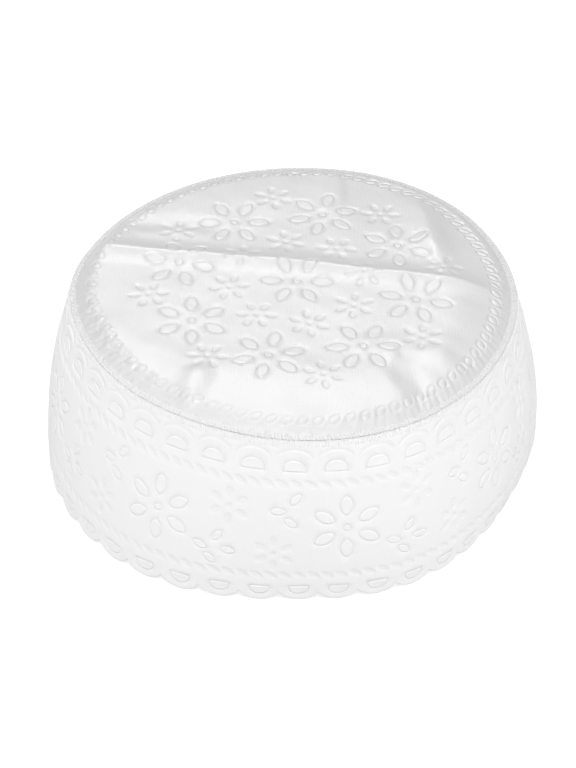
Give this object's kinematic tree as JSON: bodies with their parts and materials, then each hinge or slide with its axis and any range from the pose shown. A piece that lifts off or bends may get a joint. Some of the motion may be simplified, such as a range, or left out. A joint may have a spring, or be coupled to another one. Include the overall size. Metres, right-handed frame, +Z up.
{
  "type": "kufi",
  "caption": "Round brimless cotton cap with a nearly flat, creased crown sewn to a flared side band; embossed eyelet flowers cover both, and the hem is scalloped.",
  "frame": {"origin": "middle of the bounding box's base, on the surface that the hem stands on", "axes": "+Z up through the crown, -Y towards the front that the picture shows, +X to the right of the picture"},
  "size_m": [0.181, 0.1822, 0.0724],
  "materials": {
    "band_cloth": "matte white embossed cotton over a stiffener",
    "crown_cloth": "white embossed cotton sateen with a soft sheen",
    "seam_thread": "white cotton sewing thread"
  },
  "bodies": {
    "root": {"side_band": "band_cloth", "crown": "crown_cloth"}
  },
  "joints": []
}
